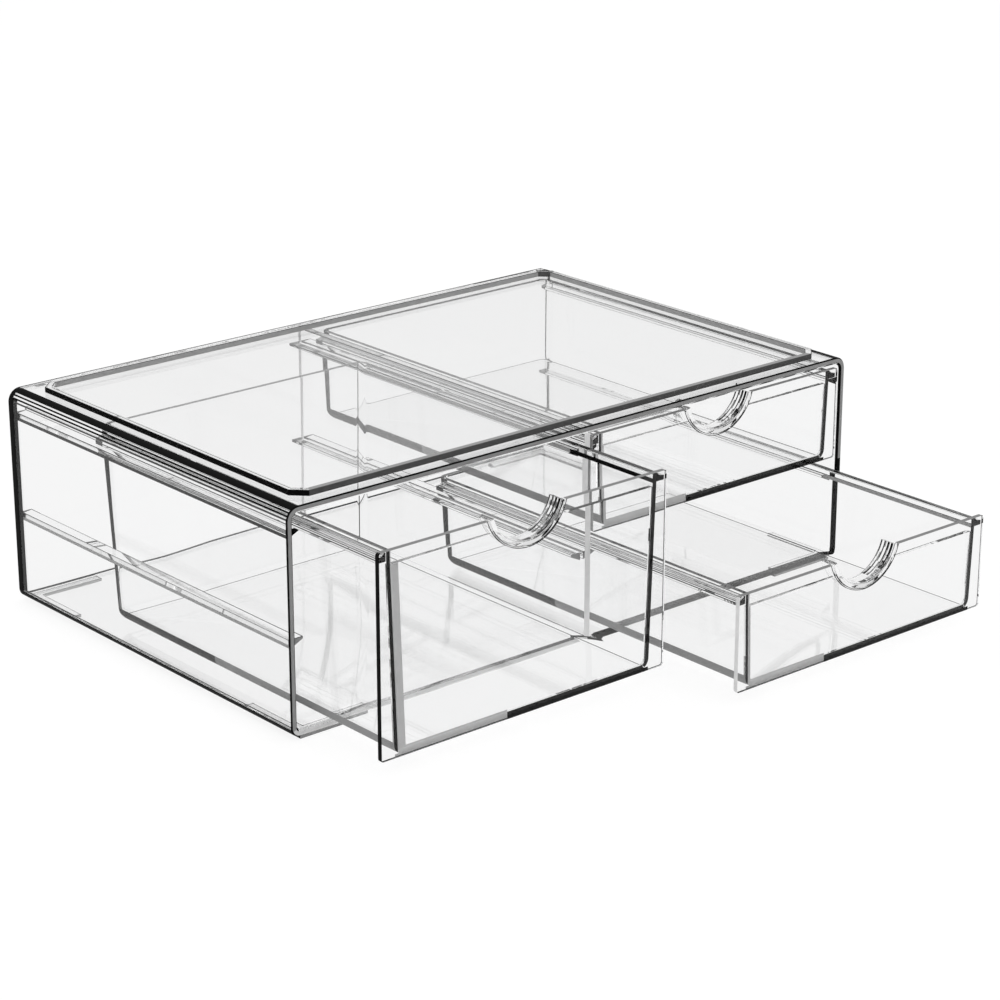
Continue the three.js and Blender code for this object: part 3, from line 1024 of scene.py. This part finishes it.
def build_tub(drawer):
    """A drawer's tub, with painted light and shade at its front, left bottom, back left corner and right
    wall.
    """
    size, tone = sizes(), colours()
    node = drawer + "_tub"
    low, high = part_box(node)
    thick = size.tub_wall
    reach_down = high.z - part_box(drawer + "_rail_left")[0].z
    shape = (low, high, thick, reach_down, 8)
    shell = tub_shell(*shape)
    wall = tub_front_wall(drawer, *shape)
    lean = math.tan(size.tub_draft)

    # Where the painted shade changes: along the bottom edges, over the floor and under the rim.
    turning = low.y + 0.6 * (high.y - low.y)
    fading = low.x + EDGE_TURN_SHARES[drawer] * (high.x - low.x)
    corner = high.y - size.tub_radius - 1.2 * thick
    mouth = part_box("casing_sleeve")[0].y
    skirt = low.z + size.tub_radius + 0.5 * thick
    pale_top = low.z + 1.45 * thick
    band = high.z - reach_down
    band_top = band + size.tub_band
    left_end, pale_end = DARK_END_SHARES[drawer] * thick, PALE_END_SHARES[drawer] * thick
    right_end = 1.15 * thick
    split_along(shell, X, fading)
    split_along(shell, Y, turning, corner, mouth)
    split_along(shell, Z, skirt, band_top)
    split_along(wall, X, fading)
    split_along(wall, Z, pale_top)
    split_at(shell, (low.x + left_end, 0, high.z), (1, 0, lean))
    split_at(wall, (low.x + pale_end, 0, high.z), (1, 0, lean))
    split_at(wall, (high.x - right_end, 0, high.z), (1, 0, -lean))
    mesh = joined(node.capitalize(), [shell, wall])

    centre = (low + high) / 2
    ahead, behind = {
        "deep_drawer": (tone.dark, tone.silver),
        "lower_drawer": (tone.silver, None),
        "upper_drawer": (None, None),
    }[drawer]

    # Painted shade and painted glow on the front end: dark at the sides and along the bottom right, pale
    # beside the left side and along the bottom left.
    def front_end(place):
        drawn_in = lean * (high.z - place.z)
        from_left, from_right = place.x - low.x - drawn_in, high.x - place.x - drawn_in
        if place.z < low.z + 0.6 * thick:
            return tone.pale if place.x < fading else tone.dark
        if from_left < left_end or from_right < right_end:
            return tone.dark
        glows = from_left < pale_end or (place.z < pale_top and place.x < fading)
        return tone.pale if glows else None

    def rule(place, normal):
        if normal.x < -0.9 and place.x > centre.x and band < place.z < band_top:
            return ahead if place.y < mouth else behind
        if normal.y < -STRAIGHT and place.y < low.y + NEAR:
            return front_end(place)
        if drawer == "deep_drawer" and normal.y < -0.97 and -0.2 < normal.x < -0.05 and place.y > centre.y:
            return tone.dark
        if 0.98 < normal.z < 0.9999 and (normal.x < -0.02 or normal.y < -0.02):
            return tone.dark
        if normal.z > STRAIGHT and place.z > high.z - NEAR and place.y > high.y - thick:
            return tone.grey
        if (place.x - centre.x) * normal.x + (place.y - centre.y) * normal.y <= 0:
            return None
        if normal.x < -0.15 and normal.y > 0.1 and abs(normal.z) < 0.5:
            return tone.dark
        if normal.x < -0.9 and place.y > corner:
            return tone.dark
        under = -0.99 < normal.z < -0.1 and normal.x < -0.1 and abs(normal.y) < 0.3
        if under or (normal.x < -0.9 and place.z < skirt):
            return tone.dark if place.y > turning else tone.grey
        return None

    finish_piece(mesh, rule, drawer, [node], "tub_clear", arris=0)


def build_front(drawer):
    """A drawer's plate, with round corners, a bite for the pull and painted light and shade on its left and
    bottom edges.
    """
    size, tone = sizes(), colours()
    node = drawer + "_front"
    low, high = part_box(node)
    radius = size.plate_radius
    outline = rounded(low, high, radius, radius, 6, bite(drawer, high.z, 48))
    mesh = prism(node.capitalize(), outline, low.y, high.y, Y)
    tub_low, tub_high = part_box(drawer + "_tub")
    fading = tub_low.x + EDGE_TURN_SHARES[drawer] * (tub_high.x - tub_low.x)
    draft = math.tan(size.tub_draft) * (tub_high.z - tub_low.z)
    start, stop = tub_low.x + draft, tub_high.x - draft
    left_strip = low.x + 2 * size.arris
    bottom_strip = tub_low.z + 0.3 * size.tub_wall
    split_along(mesh, X, left_strip, start, fading, stop)
    split_along(mesh, Z, bottom_strip)
    side_tones = {"deep_drawer": tone.dark, "lower_drawer": 1.26 * tone.pale, "upper_drawer": tone.silver}

    def rule(place, normal):
        if normal.x < -0.7 and place.x < low.x + radius:
            return side_tones[drawer]
        if drawer == "deep_drawer" and abs(normal.y) > 0.9 and place.x < left_strip:
            return side_tones[drawer]
        if normal.y > 0.9 and place.z < bottom_strip and start < place.x < stop:
            return tone.pale if place.x < fading else tone.dark
        return tone.grey if normal.z > 0.95 and place.z > high.z - NEAR else None

    finish_piece(mesh, rule, drawer, [node], "front_clear")


def build_pull(drawer):
    """A drawer's finger pull, with rows of painted shade streaks along its inside.

    Turns are in degrees round the pull's centre: 0 is to the right and -90 straight down.
    """
    size, tone = sizes(), colours()
    node = drawer + "_pull"
    low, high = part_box(node)
    centre = (low + high) / 2
    centre.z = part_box(drawer + "_front")[1].z + size.pull_rise
    middle_radius = size.pull_radius - size.pull_thickness / 2
    values = {
        "Radius": middle_radius,
        "Half Angle": math.pi / 2 - math.asin(size.pull_rise / middle_radius),
        "Thickness": size.pull_thickness,
        "Depth": high.y - low.y,
        "Rounding": size.pull_rounding,
        "Facets": 56,
    }
    tree = bpy.data.node_groups.get("Finger pull") or pull_tree()
    mesh = grown(node.capitalize(), seed("Pull seed", [(0, 0, 0)]), tree, "pull_clear", values)
    stand_up(mesh, centre)
    rows = 13
    row_width = (high.y - low.y) / rows
    split_along(mesh, Y, *(low.y + row * row_width for row in range(1, rows)))

    def rule(place, normal):
        away = place - centre
        away.y = 0
        turn = math.degrees(math.atan2(away.z, away.x))
        radial = normal.dot(away) / away.length
        row = int((place.y - low.y) / row_width)
        # Rows of painted shade streaks, dark, slate and silver, along the inside of the lip.
        if radial < -0.6 and -72 < turn < -12:
            wave = math.sin(math.radians(turn * (2 + row % 3) + 110 * row))
            if wave < -0.45:
                return None
            return tone.silver if wave < 0 else tone.slate if wave < 0.4 else tone.dark
        if radial > 0.6 and normal.y < -0.3 and -150 < turn < -20:
            return tone.dark
        if radial < -0.6 and normal.y > 0.2 and -100 < turn < -12:
            return tone.dark
        return tone.silver if radial < -0.6 and -135 < turn < -118 and row % 2 else None

    finish_piece(mesh, rule, drawer, [node], "pull_clear", arris=0)


def build_rails(drawer):
    """A drawer's two rails, hollowed underneath, the right one with painted shade at its front end."""
    size, tone = sizes(), colours()
    for side in ("left", "right"):
        node = f"{drawer}_rail_{side}"
        low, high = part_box(node)
        width, root = high.x - low.x, high.z - low.z
        hollow = [
            (width - (width - size.rail_root) * math.sin(a), root - (root - size.rail_tip) * math.cos(a))
            for a in (math.radians(90 * step / 10) for step in range(11))
        ]
        outline = [(0, 0), (width, 0), *hollow, (0, root)]
        base, out = (low.x, 1) if side == "right" else (high.x, -1)
        outline = [(base + out * x, low.z + z) for x, z in outline]
        end_tone = tone.dark if side == "right" else None

        def rule(place, normal):
            return end_tone if normal.y < -0.5 else None

        mesh = prism(node.capitalize(), outline, low.y, high.y, Y)
        finish_piece(mesh, rule, drawer, [node], "rail_clear", arris=1.6)


# Stage


def level_for(tree, direct, through):
    """One brightness seen by the camera, another where it is seen off or through the plastic."""
    path = add(tree, "ShaderNodeLightPath").outputs
    indirect = math_node(tree, "MAXIMUM", path["Is Glossy Ray"], path["Is Transmission Ray"])
    return add(tree, "ShaderNodeMix", {0: indirect, 2: direct, 3: through}, data_type="FLOAT").outputs[0]


def build_floor():
    """A white floor that glows evenly and takes a faint shadow."""
    bpy.ops.mesh.primitive_plane_add(size=24, location=(0, 0, 0))
    floor = bpy.context.object
    floor.name = "Floor"
    material, tree = empty_material("Floor white")
    glow = add(tree, "ShaderNodeEmission", {"Strength": level_for(tree, 1.06, colours().backdrop)})
    matt = add(tree, "ShaderNodeBsdfDiffuse", {"Color": (0.92, 0.92, 0.92, 1)})
    share = level_for(tree, 0.2, 0.06)
    blend = add(tree, "ShaderNodeMixShader", {0: share, 1: glow.outputs[0], 2: matt.outputs[0]})
    add(tree, "ShaderNodeOutputMaterial", {"Surface": blend.outputs[0]})
    floor.data.materials.append(material)


def build_world():
    """White surroundings, a little greyer where they are seen through the plastic."""
    world = bpy.data.worlds.new("White surroundings")
    bpy.context.scene.world = world
    world.use_nodes = True
    tree = world.node_tree
    tree.nodes.clear()
    light = add(tree, "ShaderNodeBackground", {"Strength": level_for(tree, 1, colours().backdrop)})
    add(tree, "ShaderNodeOutputWorld", {"Surface": light.outputs[0]})


def aim(item, place, target):
    """Puts a lamp or the camera at its place and points it at a target."""
    item.location = place
    item.rotation_euler = (Vector(target) - Vector(place)).to_track_quat("-Z", "Y").to_euler()


def build_lamps():
    """Soft square lamps that only the floor's shadow and the gleams come from."""
    for name, (place, energy) in LAMPS.items():
        lamp = bpy.data.lights.new(name, "AREA")
        lamp.energy = energy
        lamp.shape = "SQUARE"
        lamp.size = LAMP_WIDTH
        aim(new_object(name, lamp), place, LAMP_TARGET)


def build_camera():
    camera = bpy.data.cameras.new("Camera")
    camera.sensor_width = 36
    camera.lens = CAMERA_LENS
    holder = new_object("Camera", camera)
    bpy.context.scene.camera = holder
    aim(holder, CAMERA_PLACE, CAMERA_TARGET)


# Operators


class ORGANIZER_OT_casing(bpy.types.Operator):
    """Build the bent sleeve, the back panel and the partition"""

    bl_idname = "organizer.casing"
    bl_label = "Casing"

    def execute(self, context):
        build_sleeve()
        build_back_panel()
        build_partition()
        return {"FINISHED"}


class ORGANIZER_OT_ridge_and_feet(bpy.types.Operator):
    """Build the stacking ridge on the top and the four feet"""

    bl_idname = "organizer.ridge_and_feet"
    bl_label = "Ridge and Feet"

    def execute(self, context):
        build_ridge()
        build_feet()
        return {"FINISHED"}


class ORGANIZER_OT_runners(bpy.types.Operator):
    """Set the eight runners on the walls and the partition"""

    bl_idname = "organizer.runners"
    bl_label = "Runners"

    def execute(self, context):
        build_runners()
        return {"FINISHED"}


class ORGANIZER_OT_tubs(bpy.types.Operator):
    """Build the three drawer tubs"""

    bl_idname = "organizer.tubs"
    bl_label = "Tubs"

    def execute(self, context):
        for drawer in DRAWERS:
            build_tub(drawer)
        return {"FINISHED"}


class ORGANIZER_OT_fronts(bpy.types.Operator):
    """Build the three front plates"""

    bl_idname = "organizer.fronts"
    bl_label = "Front Plates"

    def execute(self, context):
        for drawer in DRAWERS:
            build_front(drawer)
        return {"FINISHED"}


class ORGANIZER_OT_pulls(bpy.types.Operator):
    """Bend the three finger pulls"""

    bl_idname = "organizer.pulls"
    bl_label = "Finger Pulls"

    def execute(self, context):
        for drawer in DRAWERS:
            build_pull(drawer)
        return {"FINISHED"}


class ORGANIZER_OT_rails(bpy.types.Operator):
    """Build the rails on both long sides of each tub"""

    bl_idname = "organizer.rails"
    bl_label = "Rails"

    def execute(self, context):
        for drawer in DRAWERS:
            build_rails(drawer)
        return {"FINISHED"}


class ORGANIZER_OT_stage(bpy.types.Operator):
    """Set up the white floor, the surroundings, the lamps and the camera"""

    bl_idname = "organizer.stage"
    bl_label = "Stage"

    def execute(self, context):
        build_floor()
        build_world()
        build_lamps()
        build_camera()
        context.scene.view_settings.view_transform = "Standard"
        for kind in ("max_bounces", "transmission_bounces", "glossy_bounces", "transparent_max_bounces"):
            setattr(context.scene.cycles, kind, LIGHT_BOUNCES)
        return {"FINISHED"}


STEPS = (
    ORGANIZER_OT_casing,
    ORGANIZER_OT_ridge_and_feet,
    ORGANIZER_OT_runners,
    ORGANIZER_OT_tubs,
    ORGANIZER_OT_fronts,
    ORGANIZER_OT_pulls,
    ORGANIZER_OT_rails,
    ORGANIZER_OT_stage,
)


class ORGANIZER_PT_panel(bpy.types.Panel):
    """Lists the organizer's steps in the sidebar"""

    bl_idname = "ORGANIZER_PT_panel"
    bl_label = "Clear Drawer Organizer"
    bl_space_type = "VIEW_3D"
    bl_region_type = "UI"
    bl_category = "Organizer"

    def draw(self, context):
        for step in STEPS:
            self.layout.operator(step.bl_idname)


CLASSES = (OrganizerSizes, OrganizerColours, *STEPS, ORGANIZER_PT_panel)


def register():
    for item in CLASSES:
        bpy.utils.register_class(item)
    bpy.types.Scene.organizer_sizes = PointerProperty(type=OrganizerSizes)
    bpy.types.Scene.organizer_colours = PointerProperty(type=OrganizerColours)


def unregister():
    del bpy.types.Scene.organizer_colours
    del bpy.types.Scene.organizer_sizes
    for item in reversed(CLASSES):
        bpy.utils.unregister_class(item)


def main():
    register()
    bpy.ops.organizer.casing()
    bpy.ops.organizer.ridge_and_feet()
    bpy.ops.organizer.runners()
    bpy.ops.organizer.tubs()
    bpy.ops.organizer.fronts()
    bpy.ops.organizer.pulls()
    bpy.ops.organizer.rails()
    bpy.ops.organizer.stage()


if __name__ == "__main__":
    main()
